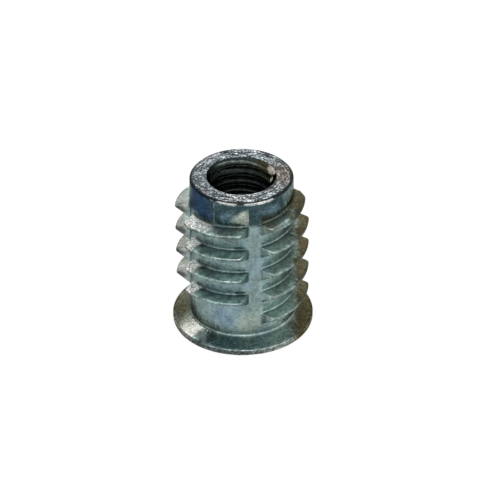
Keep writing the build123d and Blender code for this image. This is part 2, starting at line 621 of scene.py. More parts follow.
def thread_turn(size, row):
    """Rise and height over the barrel along one turn's rows, from the land below it to the land above."""
    half_crest = size["crest_width"] / 2
    top = size["thread_height"]
    fillet = size["root_fillet"]
    edge = size["crest_round"]
    low_sine = size["lower_angle"].math("SINE")
    low_cosine = size["lower_angle"].math("COSINE")
    high_sine = size["upper_angle"].math("SINE")
    high_cosine = size["upper_angle"].math("COSINE")
    low_root = -half_crest - top * size["lower_angle"].math("TANGENT")
    high_root = half_crest + top * size["upper_angle"].math("TANGENT")
    turn_bottom = (low_root + high_root - size["thread_pitch"]) / 2
    turn_top = turn_bottom + size["thread_pitch"]

    outline = Outline(row, 0.0, turn_bottom)
    outline.to(0.0, low_root - fillet, LAND_ROWS)
    outline.round_to((0.0, low_root), fillet * low_cosine, low_root + fillet * low_sine, FILLET_ROWS)
    outline.to(top - edge * low_cosine, -half_crest - edge * low_sine, LOWER_FLANK_ROWS)
    outline.round_to((top, -half_crest), top, edge - half_crest, CREST_EDGE_ROWS)
    outline.to(top, half_crest - edge, CREST_ROWS)
    flank_top = (top - edge * high_cosine, half_crest + edge * high_sine)
    outline.round_to((top, half_crest), *flank_top, CREST_EDGE_ROWS)
    outline.to(fillet * high_cosine, high_root - fillet * high_sine, UPPER_FLANK_ROWS)
    outline.round_to((0.0, high_root), 0.0, high_root + fillet, FILLET_ROWS)
    outline.to(0.0, turn_top, UPPER_LAND_ROWS)
    return outline, turn_bottom


class TurnParts:
    """Masks of the crest, its upper and lower edges and the upper flank along one turn's rows."""

    def __init__(self, row):
        under_rows = 2
        half_edge = CREST_EDGE_ROWS // 2
        crest = LAND_ROWS + FILLET_ROWS + LOWER_FLANK_ROWS + half_edge
        edge = crest + CREST_EDGE_ROWS + CREST_ROWS
        flank_end = edge + half_edge + UPPER_FLANK_ROWS + FILLET_ROWS
        half_row = 0.5
        self.crest = row.above(crest - half_row) * row.below(edge - half_row)
        self.edge = row.above(edge - half_row) * row.below(edge + half_row)
        self.flank = row.above(edge + half_row) * row.below(flank_end + half_row)
        self.upper = row.above(crest + half_row) * row.below(flank_end + half_row)
        self.under = row.above(crest - under_rows - half_row) * row.below(crest + half_row)


def turn_rows():
    """Rows in one turn of the wood thread."""
    lands = LAND_ROWS + UPPER_LAND_ROWS
    flanks = LOWER_FLANK_ROWS + UPPER_FLANK_ROWS
    return lands + flanks + 2 * FILLET_ROWS + 2 * CREST_EDGE_ROWS + CREST_ROWS


def barrel(size, row, foot, angle, strip_angle, strip_sides):
    """Radius and height of the barrel's rows: the land at the foot, the turns of thread and the collar."""
    least_step = 0.012 * MM
    soft_edge = 0.05 * MM
    near_round = 0.11 * MM
    far_round = 0.25 * MM
    least_turn = 0.05
    turn_slack = 0.001
    half_turn = 0.5
    drop_half = math.radians(5) / math.tau
    wider, mirrored = strip_sides
    soft_side = near_round + mirrored * far_round
    foot_height, collar_top = foot
    thread_rows = TURNS * turn_rows()

    # One turn's rows climb round the barrel, and drop by a pitch in the floor of the strip on +Y
    turns = angle / math.tau
    drop = turns.ramp(half_turn - drop_half, 2 * drop_half)
    lowest_turn = turns - drop

    thread_row = (row - BELOW_THREAD_ROWS).math("MAXIMUM", 0.0).math("MINIMUM", thread_rows)
    turn = (thread_row / turn_rows()).math("FLOOR")
    turn_row = thread_row - turn * turn_rows()
    outline, turn_bottom = thread_turn(size, turn_row)

    start = size["thread_start"] + lowest_turn * size["thread_pitch"]
    first = start + turn_bottom
    last = first + TURNS * size["thread_pitch"]
    rise = turn * size["thread_pitch"] + outline.height - turn_bottom
    below = row.ramp(0, BELOW_THREAD_ROWS)
    above = row.ramp(BELOW_THREAD_ROWS + thread_rows, ABOVE_THREAD_ROWS)
    height = foot_height + (first - foot_height) * below + rise + (collar_top - last) * above
    height = height.math("MAXIMUM", foot_height + row * least_step)

    # The ridge stands where the thread runs, and the strips and the lead-in cone cut it down
    taper = (height - foot_height) / (collar_top - foot_height)
    skin = size["collar_radius"] + size["barrel_draft"] * (1.0 - taper)
    crest = size["collar_radius"] + size["thread_height"]
    reached = lowest_turn + turn
    runs = reached.above(-turn_slack) * reached.below(size["thread_turns"] + turn_slack)
    ridge = skin + outline.radius * runs * (crest - skin) / size["thread_height"]
    side_turn = (size["strip_angle"] + wider - strip_angle).math("MAXIMUM", least_turn)
    strip_side = strip_wall(size) / side_turn.math("SINE")
    cone = crest + size["lead_in"] - height
    ridge = ridge.math("SMOOTH_MIN", strip_side, soft_side)
    ridge = ridge.math("SMOOTH_MIN", cone, soft_edge)
    radius = ridge.math("SMOOTH_MAX", skin, soft_edge)
    return radius, height, (radius - skin) / size["thread_height"], TurnParts(turn_row)


def screw_groove(size, angle, height):
    """Radius of the tapped bore, a right-hand groove, and a share from 0 in its root to 1 on its crest."""
    root_half = 0.07
    flank = 0.31
    middle = 0.5
    turn = (height / size["screw_pitch"] - angle / math.tau + size["screw_phase"]).math("FRACT")
    away = (turn - middle).math("ABSOLUTE")
    depth = 1.0 - away.ramp(root_half, flank)
    return size["bore_radius"] + size["screw_depth"] * depth, 2.0 * away


def hexagon(size, angle):
    """Radius of the hexagon socket's wall, with corners on +X and -X."""
    side = math.radians(60)
    from_flat = ((angle + side / 2) / side).math("FRACT") * side - side / 2
    return size["socket_radius"] / from_flat.math("COSINE")


class Section:
    """The casting's whole section as fields, with the rows at which its parts start."""

    def __init__(self, size, row, angle, strip_angle, strip_sides):
        edge = size["edge_round"]
        fillet = size["foot_fillet"]
        rim = size["rim_height"]
        crown = size["crown_height"]
        flange = size["flange_radius"]
        base = size["collar_radius"] + size["barrel_draft"]
        slope = (crown - rim) / (flange - base)
        cone_reach = fillet / (1.0 + slope * slope).math("SQRT")
        wall = hexagon(size, angle)

        # Flange, from the socket's mouth to the fillet at the barrel's foot
        outline = Outline(row, wall, 0.0)
        outline.to(flange - 2 * edge, 0.0, FACE_ROWS)
        outline.round_to((flange, 0.0), flange, 2 * edge, RIM_EDGE_ROWS)
        outline.to(flange, rim - edge, RIM_ROWS)
        outline.round_to((flange, rim), flange - edge, rim + edge * slope, RIM_EDGE_ROWS)
        outline.to(base + cone_reach, crown - cone_reach * slope, CONE_ROWS)
        outline.round_to((base, crown), base, crown + fillet, FOOT_ROWS)

        # Barrel and thread, which have their own rule
        self.barrel_row = outline.at
        foot = crown + fillet
        collar_top = size["length"] - size["collar_bevel"]
        barrel_rows = BELOW_THREAD_ROWS + TURNS * turn_rows() + ABOVE_THREAD_ROWS
        outline.to(size["collar_radius"], collar_top, barrel_rows)
        self.bevel_row = outline.at

        # End of the collar and mouth of the bore
        length = size["length"]
        mouth = size["mouth_radius"]
        bore = size["bore_radius"]
        mouth_depth = (mouth - bore) * size["mouth_angle"].math("TANGENT")
        outline.to(size["collar_radius"] - size["collar_bevel"], length, BEVEL_ROWS)
        self.top_row = outline.at
        outline.to(mouth + edge, length, TOP_ROWS)
        self.bore_row = outline.at
        outline.round_to((mouth, length), mouth - edge, length - edge, MOUTH_EDGE_ROWS)
        outline.to(bore, length - mouth_depth, MOUTH_ROWS)

        # Tapped bore, with most rows in the turns that show, then the socket
        fine_turns = 4
        floor_slope = math.tan(math.radians(30))
        fine_depth = mouth_depth + fine_turns * size["screw_pitch"]
        cone_depth = (size["socket_radius"] - bore) * floor_slope
        outline.to(bore, length - fine_depth, FINE_BORE_ROWS)
        outline.to(bore, size["socket_depth"] + cone_depth, PLAIN_BORE_ROWS)
        self.groove_end_row = outline.at
        outline.to(size["socket_radius"] - edge, size["socket_depth"], FLOOR_ROWS)
        outline.to(wall, size["socket_depth"], CORNER_ROWS)
        self.socket_row = outline.at
        outline.to(wall, 0.0, SOCKET_ROWS)
        self.rows = outline.at

        in_barrel = row.above(self.barrel_row) * row.below(self.bevel_row)
        barrel_radius, barrel_height, ridge, self.parts = barrel(
            size, row - self.barrel_row, (foot, collar_top), angle, strip_angle, strip_sides
        )
        self.ridge = ridge * in_barrel
        radius = outline.radius + in_barrel * (barrel_radius - outline.radius)
        self.height = outline.height + in_barrel * (barrel_height - outline.height)

        in_bore = row.above(self.bore_row) * row.below(self.groove_end_row + FLOOR_ROWS)
        groove, crest = screw_groove(size, angle, self.height)
        self.screw_crest = in_bore * crest
        self.radius = radius + in_bore * (radius.math("MAXIMUM", groove) - radius)


def grid_rows():
    """Rows of the whole section."""
    flange = FACE_ROWS + 2 * RIM_EDGE_ROWS + RIM_ROWS + CONE_ROWS + FOOT_ROWS
    outside = BELOW_THREAD_ROWS + TURNS * turn_rows() + ABOVE_THREAD_ROWS + BEVEL_ROWS + TOP_ROWS
    bore = MOUTH_EDGE_ROWS + MOUTH_ROWS + FINE_BORE_ROWS + PLAIN_BORE_ROWS
    socket = FLOOR_ROWS + CORNER_ROWS + SOCKET_ROWS
    return flange + outside + bore + socket


def casting_tree(skin_material, bore_material):
    """Geometry Nodes tree that lays one grid along the section and round the axis, and closes it."""
    tree = new_tree("insert_casting")
    nodes = tree.nodes
    quarter_turn = math.tau / QUARTERS
    parting_reach = math.radians(0.6)
    seam_gap = 0.0002 * MM
    well_inside = 0.5
    ridge_foot = (0.02, 0.06)
    ridge_middle = (0.3, 0.3)
    ridge_top = (0.5, 0.3)
    size = size_inputs(tree)
    rows = grid_rows()
    columns = QUARTERS * quarter_columns()

    grid = nodes.new("GeometryNodeMeshGrid")
    grid.inputs["Vertices X"].default_value = columns + 1
    grid.inputs["Vertices Y"].default_value = rows + 1
    index = Field(tree, nodes.new("GeometryNodeInputIndex").outputs["Index"])
    column = (index / (rows + 1)).math("FLOOR")
    row = index - column * (rows + 1)
    angle, strip_angle, wider, side_end, mirrored = column_angles(size, column)
    section = Section(size, row, angle, strip_angle, (wider, mirrored))

    bearing = angle - quarter_turn
    position = nodes.new("ShaderNodeCombineXYZ")
    feed(tree, position.inputs["X"], section.radius * bearing.math("COSINE"))
    feed(tree, position.inputs["Y"], section.radius * bearing.math("SINE"))
    feed(tree, position.inputs["Z"], section.height)
    place = pass_through(tree, grid.outputs["Mesh"], "GeometryNodeSetPosition")
    tree.links.new(position.outputs["Vector"], place.inputs["Position"])

    # What later nodes need to know of a vertex is kept on it before the seams are closed
    outside = row.above(section.barrel_row) * row.below(section.bevel_row)
    inside = row.above(section.bore_row) * row.below(section.socket_row)
    on_top = row.above(section.top_row - 1) * row.below(section.bore_row + 1)
    from_parting = (strip_angle - quarter_turn / 2).math("ABSOLUTE")
    parting = (1.0 - from_parting.ramp(0.0, parting_reach)) * outside
    on_bevel = row.above(section.bevel_row) * row.below(section.top_row)
    ridge = section.ridge
    parts = section.parts
    kept = (
        ("parting", parting),
        ("inside", inside),
        ("top_face", on_top * (1.0 - on_bevel)),
        ("bevel", on_bevel),
        ("ridge", ridge),
        # Upper flanks of the ridge ends beside the strip on -X, which get a painted highlight
        ("lit_ridge_end", ridge.ramp(*ridge_foot) * parts.upper * side_end),
        # Lowest crest rows of those ridge ends, which get painted shade
        ("shaded_under_end", ridge.ramp(*ridge_middle) * parts.under * side_end),
        ("flank", ridge.ramp(*ridge_foot) * (parts.flank + parts.edge)),
        ("crest", ridge.ramp(*ridge_top) * parts.crest),
        ("crest_edge", ridge.ramp(*ridge_middle) * parts.edge),
        ("screw_crest", section.screw_crest),
    )
    geometry = place.outputs["Geometry"]
    for name, field in kept:
        geometry = keep_field(tree, geometry, name, field)

    close = pass_through(tree, geometry, "GeometryNodeMergeByDistance")
    close.inputs["Distance"].default_value = seam_gap
    geometry = cast_skin(tree, close.outputs["Geometry"], size)
    geometry = edge_fields(tree, geometry)

    smooth = pass_through(tree, geometry, "GeometryNodeSetShadeSmooth")
    realize = pass_through(tree, smooth.outputs["Geometry"], "GeometryNodeRealizeInstances")
    skin = pass_through(tree, realize.outputs["Geometry"], "GeometryNodeSetMaterial")
    skin.inputs["Material"].default_value = skin_material
    tapped = pass_through(tree, skin.outputs["Geometry"], "GeometryNodeSetMaterial")
    tapped.inputs["Material"].default_value = bore_material
    feed(tree, tapped.inputs["Selection"], named_field(tree, "inside").above(well_inside))
    pass_through(tree, tapped.outputs["Geometry"], "NodeGroupOutput")
    return tree


def keep_field(tree, geometry, name, field):
    """Stores a field on the vertices under a name that materials can read."""
    store = pass_through(tree, geometry, "GeometryNodeStoreNamedAttribute")
    store.data_type = "FLOAT"
    store.domain = "POINT"
    store.inputs["Name"].default_value = name
    feed(tree, store.inputs["Value"], field)
    return store.outputs["Geometry"]


def named_field(tree, name):
    """A field that was stored on the vertices."""
    node = tree.nodes.new("GeometryNodeInputNamedAttribute")
    node.data_type = "FLOAT"
    node.inputs["Name"].default_value = name
    return Field(tree, node.outputs["Attribute"])


def cast_skin(tree, geometry, size):
    """Shallow dents, which only go inwards, and the raised parting lines between the mould's halves."""
    nodes = tree.nodes
    links = tree.links
    waves = nodes.new("ShaderNodeTexNoise")
    waves.inputs["Scale"].default_value = DENTS_PER_METRE
    waves.inputs["Detail"].default_value = 1.0
    dent = Field(tree, waves.outputs["Fac"]) * size["skin_waves"]
    raised = named_field(tree, "parting") * size["parting_height"]
    normal = nodes.new("GeometryNodeInputNormal")
    shift = nodes.new("ShaderNodeVectorMath")
    shift.operation = "SCALE"
    links.new(normal.outputs["Normal"], shift.inputs[0])
    feed(tree, shift.inputs["Scale"], raised - dent)
    place = pass_through(tree, geometry, "GeometryNodeSetPosition")
    links.new(shift.outputs["Vector"], place.inputs["Offset"])
    return place.outputs["Geometry"]


def edge_fields(tree, geometry):
    """Marks outer edges, which get worn metal and a painted highlight, and inner corners, where the film
    stays dark and the foot's corner gets a painted highlight.
    """
    sharpness = (0.05, 0.35)
    corner = tree.nodes.new("GeometryNodeInputMeshEdgeAngle")
    turn = Field(tree, corner.outputs["Signed Angle"])
    geometry = keep_field(tree, geometry, "edge", turn.ramp(*sharpness))
    return keep_field(tree, geometry, "hollow", (-turn).ramp(*sharpness))


def new_material(name):
    """A material with its shader tree."""
    material = bpy.data.materials.new(name)
    material.use_nodes = True
    return material, material.node_tree


def noise(tree, place, scale, detail, roughness=0.5):
    """Noise on the object's own coordinates, as a field from about 0.3 to 0.7."""
    node = tree.nodes.new("ShaderNodeTexNoise")
    node.inputs["Detail"].default_value = detail
    node.inputs["Roughness"].default_value = roughness
    feed(tree, node.inputs["Scale"], scale)
    tree.links.new(place, node.inputs["Vector"])
    return Field(tree, node.outputs["Fac"])


def attribute(tree, name):
    """A field that the casting's tree stored on the mesh."""
    node = tree.nodes.new("ShaderNodeAttribute")
    node.attribute_name = name
    return Field(tree, node.outputs["Fac"])


def mix_colours(tree, share, first, second, kind="MIX"):
    """Mixes two colours, each a socket or a plain colour, and returns the mixed socket."""
    node = tree.nodes.new("ShaderNodeMix")
    node.data_type = "RGBA"
    node.blend_type = kind
    feed(tree, node.inputs["Factor"], share)
    sockets = [socket for socket in node.inputs if socket.type == "RGBA"]
    for socket, colour in zip(sockets, (first, second)):
        if isinstance(colour, bpy.types.NodeSocket):
            tree.links.new(colour, socket)
        else:
            socket.default_value = (*colour, 1.0)
    return next(socket for socket in node.outputs if socket.type == "RGBA")


def grain_group():
    """Shader group for the grain of zinc: a shade round 1 and the height of its relief."""
    coarse_detail = 1.5
    fine_detail = 1.0
    fine_scale = 2.3
    coarse_speck = (0.38, 0.24)
    fine_speck = (0.36, 0.28)
    fine_share = 0.35
    fine_relief = 0.4
    sockets = (
        ("Place", "INPUT", "NodeSocketVector"),
        ("Grains per Metre", "INPUT", "NodeSocketFloat"),
        ("Contrast", "INPUT", "NodeSocketFloat"),
        ("Shade", "OUTPUT", "NodeSocketFloat"),
        ("Relief", "OUTPUT", "NodeSocketFloat"),
    )
    group = bpy.data.node_groups.new("zinc_grain", "ShaderNodeTree")
    for name, end, kind in sockets:
        group.interface.new_socket(name=name, in_out=end, socket_type=kind)
    source = group.nodes.new("NodeGroupInput")
    place = source.outputs["Place"]
    scale = Field(group, source.outputs["Grains per Metre"])
    contrast = Field(group, source.outputs["Contrast"])
    coarse = noise(group, place, scale, coarse_detail)
    fine = noise(group, place, scale * fine_scale, fine_detail)
    speck = coarse.ramp(*coarse_speck, "SMOOTHSTEP") * (1.0 - fine_share)
    speck = speck + fine.ramp(*fine_speck, "SMOOTHSTEP") * fine_share
    result = group.nodes.new("NodeGroupOutput")
    feed(group, result.inputs["Shade"], (speck - NOISE_MIDDLE) * 2.0 * contrast + 1.0)
    feed(group, result.inputs["Relief"], coarse + fine * fine_relief)
    return group


def place_grain(tree, group, place, contrast):
    """Puts the grain group in a material and returns its shade and its relief."""
    node = tree.nodes.new("ShaderNodeGroup")
    node.node_tree = group
    tree.links.new(place, node.inputs["Place"])
    feed(tree, node.inputs["Grains per Metre"], GRAINS_PER_METRE)
    feed(tree, node.inputs["Contrast"], contrast)
    return Field(tree, node.outputs["Shade"]), Field(tree, node.outputs["Relief"])


def ring_streaks(tree, across, along):
    """Short bright and dark streaks that run round the axis, and the distance from the axis."""
    stretch = 0.9 * MM
    radius = (across * across + along * along).math("SQRT")
    turned = tree.nodes.new("ShaderNodeCombineXYZ")
    feed(tree, turned.inputs["X"], across / radius * stretch)
    feed(tree, turned.inputs["Y"], along / radius * stretch)
    feed(tree, turned.inputs["Z"], radius)
    return noise(tree, turned.outputs["Vector"], *STREAK_NOISE), radius


def film_along(tree, place, bearing):
    """Distance from the axis along a bearing."""
    turn = math.radians(bearing)
    node = vector_math(tree, "DOT_PRODUCT", place, (math.cos(turn), math.sin(turn), 0.0))
    return Field(tree, node.outputs["Value"])


def film_side(tree, place, ragged, side):
    """The film beyond a plane that faces a bearing, with a ragged edge, as a mask."""
    bearing, start, span = side
    along = film_along(tree, place, bearing) + (ragged - NOISE_MIDDLE) * SIDE_WANDER
    return along.ramp(start * MM, span * MM, "SMOOTHSTEP")


def film_spot(tree, place, ragged, spot):
    """A soft patch of the film about a point of the skin, with a ragged edge, as a mask."""
    wander_share = 1.6
    core_share = 0.4
    bearing, radius, height, reach, width = spot
    turn = math.radians(bearing)
    centre = (radius * math.cos(turn) * MM, radius * math.sin(turn) * MM, height * MM)
    moved = vector_math(tree, "SUBTRACT", place, centre)
    flattened = vector_math(tree, "MULTIPLY", moved.outputs["Vector"], (1.0, 1.0, width))
    length = vector_math(tree, "LENGTH", flattened.outputs["Vector"])
    away = Field(tree, length.outputs["Value"]) + (ragged - NOISE_MIDDLE) * (reach * MM * wander_share)
    return 1.0 - away.ramp(reach * MM * core_share, reach * MM * (1.0 - core_share), "SMOOTHSTEP")


def add_relief(tree, shader, height, strength, depth):
    """Gives a shader fine relief."""
    bump = tree.nodes.new("ShaderNodeBump")
    bump.inputs["Strength"].default_value = strength
    bump.inputs["Distance"].default_value = depth
    tree.links.new(height.socket, bump.inputs["Height"])
    tree.links.new(bump.outputs["Normal"], shader.inputs["Normal"])


class ZincSkin:
    """What the zinc skin's material knows of a point: where it lies and which part of the casting it is."""

    def __init__(self, tree):
        self.tree = tree
        self.place = tree.nodes.new("ShaderNodeTexCoord").outputs["Object"]
        across, along, self.height = coordinates(tree, self.place)
        self.streak, self.radius = ring_streaks(tree, across, along)
        self.film = noise(tree, self.place, *FILM_NOISE)

        self.edge = attribute(tree, "edge")
        self.hollow = attribute(tree, "hollow")
        self.bevel = attribute(tree, "bevel")
        self.crest = attribute(tree, "crest")
        self.crest_edge = attribute(tree, "crest_edge")
        self.top_face = attribute(tree, "top_face")
        self.shaded_under_end = attribute(tree, "shaded_under_end")
        self.ridge = attribute(tree, "ridge")
        self.on_ridge = self.ridge.ramp(*RIDGE_START)
        self.lit_ridge_end = attribute(tree, "lit_ridge_end")
        # The painted highlight of the ridge ends also covers patches of the highest ridge's flank
        for strength, spot in LIT_FLANK_SPOTS:
            painted_light = film_spot(tree, self.place, NOISE_MIDDLE, spot) * strength * attribute(tree, "flank")
            self.lit_ridge_end = self.lit_ridge_end.math("MAXIMUM", painted_light)

        dip_line = self.height + (self.film - NOISE_MIDDLE) * DIP_WANDER
        self.on_collar = dip_line.ramp(*DIP_LINE, "SMOOTHSTEP") * (1.0 - self.ridge)
        self.on_rim = 1.0 - self.height.ramp(*RIM_TOP)
        low = 1.0 - self.height.ramp(*FLANGE_TOP)
        self.on_flange = low * self.radius.ramp(*FLANGE_REACH, "SMOOTHSTEP")
        # Side of the collar's bevel towards the camera, which gets a painted highlight, less a gap
        self.highlight_side = self.side(BEVEL_HIGHLIGHT_SIDE) * (1.0 - self.spot(BEVEL_HIGHLIGHT_GAP))

    def side(self, side):
        """Mask of the film on one side of the casting."""
        return film_side(self.tree, self.place, self.film, side)

    def spot(self, spot):
        """Mask of a patch of the film."""
        return film_spot(self.tree, self.place, self.film, spot)

    def by_part(self, shares):
        """A value that changes over the skin: its share on plain skin and what each part adds."""
        total = shares["plain"]
        for part, share in shares.items():
            if part != "plain":
                total = getattr(self, part) * share + total
        return total

    def coat(self, colour, coats):
        """Lays coats over a colour, each given by its mask, its strength and its own colour."""
        for mask, strength, paint in coats:
            colour = mix_colours(self.tree, mask * strength, colour, paint)
        return colour


def film_coats(skin, finish):
    """Colour of the film: teal, deeper on the collar, with patches where it pooled or dried thin, and
    painted light and shade: a dark rim, shadows at the ridge roots, and highlight and shade on the flange,
    the barrel and the collar's bevel.
    """
    pooled = (0.45, 0.25)
    blotched = (0.47, 0.14)
    collar_cover = 0.8
    collar_change = 0.3
    tree = skin.tree
    blotch = noise(tree, skin.place, *BLOTCH_NOISE).ramp(*blotched, "SMOOTHSTEP")
    off_face = 1.0 - skin.top_face
    warm = skin.side(WARM_SIDE) * (1.0 - skin.on_collar) * off_face
    coats = (
        (skin.on_collar, skin.film * collar_change + collar_cover, finish.deep),
        (skin.on_flange, COVER["flange"], finish.deep),
        # The rim's dark colour is painted shade
        (skin.on_rim, COVER["rim"], finish.rim),
        (skin.ridge.ramp(*RIDGE_FLANK), COVER["flank"], finish.flank),
        (skin.on_ridge * blotch, COVER["blotch"], finish.deep),
        (skin.top_face, COVER["faced"], finish.faced),
        (warm, COVER["warm"], finish.beige),
        (skin.side(OLIVE_SIDE), COVER["olive"], finish.olive),
        (skin.side(DULL_SIDE) * skin.on_ridge, COVER["dull"], finish.dull),
    )
    pools = skin.film.ramp(*pooled) * COVER["pooled"]
    colour = skin.coat(mix_colours(tree, pools, finish.zinc, finish.blue), coats)

    collar_skin = skin.on_collar * off_face
    leaf = collar_skin * film_side(tree, skin.place, NOISE_MIDDLE, LEAF_SIDE)
    limits = (
        (COLLAR_SPOTS, collar_skin),
        (LEAF_SPOTS, leaf),
        (FACE_SPOTS, skin.top_face),
        (FLANGE_SPOTS + BARREL_SPOTS + ROOT_SHADOW_SPOTS + RIDGE_SPOTS, 1.0),
    )
    for spots, limit in limits:
        for shade, strength, spot in spots:
            colour = mix_colours(tree, skin.spot(spot) * strength * limit, colour, getattr(finish, shade))

    # The collar's bevel: a dark ring of painted shade, with a painted highlight on its lower part on the
    # side towards the camera
    highlight_half = skin.highlight_side * (1.0 - skin.height.ramp(*BEVEL_MIDDLE))
    bevel_coats = (
        (skin.bevel * (1.0 - highlight_half), COVER["bevel"], finish.shade_black),
        (skin.bevel * highlight_half, COVER["bevel"], finish.bare_and_highlight),
    )
    return skin.coat(colour, bevel_coats)


def faced_shine(skin, sparkle):
    """How much brighter or darker than its plain shade each streak of the faced end is, with a painted
    sheen strongest along one bearing and its opposite.
    """
    streak_share = 0.5
    cluster_share = 0.25
    outer_dim = 0.2
    glints = (0.4, 0.25)
    glint_peak = 4.4
    glint_floor = 0.12
    plain_level = 0.96
    bearing_lift = 0.2
    level_share = 0.4
    level_floor = 0.56
    contrast = 0.75
    contrast_lift = 0.3
    facing = film_along(skin.tree, skin.place, FACED_SHEEN_BEARING) / skin.radius
    lift = facing * facing
    level = lift * bearing_lift + plain_level
    cluster = noise(skin.tree, skin.place, *CLUSTER_NOISE) - NOISE_MIDDLE
    outer = skin.radius.ramp(*FACE_OUTER) * outer_dim
    mixed = skin.streak * streak_share + sparkle * (1.0 - streak_share) + cluster * cluster_share - outer
    texture = mixed.ramp(*glints)
    shine = (texture * texture * glint_peak * level + glint_floor) * (level * level_share + level_floor)
    return (shine - 1.0) * (lift * contrast_lift + contrast)


def skin_shade(skin, grain):
    """Light and dark of the grain and the mottled film, the painted sheen of the faced end and the painted
    glitter of the lit ridge ends, and the relief.
    """
    patch_level = 0.97
    patch_depth = 0.9
    glitter = (0.36, 0.28)
    end_dim = 0.44
    tree = skin.tree
    shade, relief = place_grain(tree, grain, skin.place, skin.by_part(GRAIN_CONTRAST))
    mottle = noise(tree, skin.place, *MOTTLE_NOISE) - NOISE_MIDDLE
    patches = noise(tree, skin.place, *PATCH_NOISE) - NOISE_MIDDLE
    sparkle = noise(tree, skin.place, *SPARKLE_NOISE)
    shade = shade * (1.0 + mottle * skin.by_part(MOTTLE))
    shade = shade * (patch_level + patches * patch_depth * (1.0 - skin.top_face))
    shade = shade * (1.0 + skin.top_face * faced_shine(skin, sparkle))
    return shade * (1.0 + skin.lit_ridge_end * (sparkle.ramp(*glitter) - end_dim)), relief


def edge_wear_light_and_shade(skin, colour, finish):
    """Film in dark corners, painted shade on crests and lower edges, a painted highlight along the foot,
    and outer edges worn to exposed metal with a painted highlight.
    """
    dashed = (0.44, 0.12)
    rubbed_and_lit_edge = (0.35, 0.6)
    highlight_side_share = 0.7
    dim_crest_share = 0.75
    tree = skin.tree
    dashes = noise(tree, skin.place, *DASH_NOISE).ramp(*dashed)
    for tip in RUBBED_AND_LIT_TIPS:
        dashes = dashes.math("MAXIMUM", skin.spot(tip))
    collar_end = skin.height.ramp(*COLLAR_END) * (1.0 - skin.highlight_side * highlight_side_share)
    plain_edge = skin.edge * (1.0 - skin.ridge.ramp(*RIDGE_FOOT)) * (1.0 - collar_end)
    sharp = (plain_edge + skin.crest_edge).math("MINIMUM", 1.0)
    at_foot = 1.0 - skin.height.ramp(*FOOT_TOP)
    # Share of worn metal and painted highlight on the edges, lower on the dim side
    worn = 1.0 - skin.side(DIM_CREST_SIDE) * dim_crest_share
    # Worn edges, broken into dashes, get exposed metal and a painted highlight; so do the lit ridge ends
    rubbed_and_lit = sharp.ramp(*rubbed_and_lit_edge) * (1.0 - skin.bevel) * dashes * worn
    rubbed_and_lit = rubbed_and_lit.math("MAXIMUM", skin.lit_ridge_end * COVER["lit_ridge_end"])
    coats = (
        (skin.hollow * (1.0 - at_foot), COVER["corner"], finish.deep),
        # Painted highlight along the corner at the barrel's foot
        (skin.hollow * at_foot * dashes, COVER["foot"], finish.beige),
        # Painted shade on the crest faces, except on the lit ridge ends
        (skin.crest * (1.0 - skin.lit_ridge_end), COVER["crest"], finish.deep),
        # Painted shade under the lit ridge ends
        (skin.shaded_under_end, COVER["under"], finish.shade_black),
        # Painted shade on the crest edges of the dim side
        (skin.crest_edge * (1.0 - worn), COVER["shaded_crest_edge"], finish.deep),
        # Worn metal and painted highlight on edges and lit ridge ends
        (rubbed_and_lit, 1.0, finish.bare_and_highlight),
    )
    # Painted shade along the lower edges of the lit ridge ends and of the lobes past the strip on -X
    shaded_edges = [(skin.spot(spot), strength, finish.shade_black) for strength, spot in SHADED_EDGE_SPOTS]
    return skin.coat(skin.coat(colour, coats), shaded_edges)


def zinc_skin_material(finish, grain):
    """Passivated zinc: grainy cast metal whose thin film drifts from teal to blue and olive, with painted
    light and shade.
    """
    darkest = 0.12
    chalky_end = 0.7
    chalky_ridge = 0.2
    rough_grain = 0.05
    relief_strength = 1.0
    relief_depth = 0.06 * MM
    material, tree = new_material("passivated_zinc")
    shader = tree.nodes["Principled BSDF"]
    skin = ZincSkin(tree)
    shade, relief = skin_shade(skin, grain)
    colour = edge_wear_light_and_shade(skin, film_coats(skin, finish), finish)
    colour = mix_colours(tree, 1.0, colour, shade.math("MAXIMUM", darkest).socket, "MULTIPLY")
    tree.links.new(colour, shader.inputs["Base Color"])
    chalky = (skin.lit_ridge_end * chalky_end).math("MAXIMUM", skin.on_ridge * chalky_ridge)
    tree.links.new((1.0 - chalky).socket, shader.inputs["Metallic"])
    shader.inputs["Specular Tint"].default_value = (*finish.grazing, 1.0)
    roughness = skin.by_part(ROUGHNESS) + (shade - 1.0) * rough_grain
    tree.links.new(roughness.socket, shader.inputs["Roughness"])
    add_relief(tree, shader, relief * skin.by_part(RELIEF_DEPTH), relief_strength, relief_depth)
    return material


def lit_thread(tree, height, place, marks):
    """Masks of the painted light on the crests and flanks of the screw thread, on the sides of the bore
    that are lit.
    """
    marked = (0.34, 0.25)
    mouth_dim = 0.35
    crest_top = (0.82, 0.1)
    flank_low = (0.15, 0.2)
    flank_high = (0.5, 0.12)
    thread = attribute(tree, "screw_crest")
    painted_light = 0.0
    for side in LIT_BORE_SIDES:
        painted_light = film_side(tree, place, NOISE_MIDDLE, side).math("MAXIMUM", painted_light)
    painted_light = painted_light * height.ramp(*LIT_BORE) * marks.ramp(*marked)
    painted_light = painted_light * (1.0 - height.ramp(*MOUTH_START) * mouth_dim)
    crest = thread.ramp(*crest_top) * painted_light
    flank = thread.ramp(*flank_low) * (1.0 - thread.ramp(*flank_high)) * painted_light
    return crest, flank


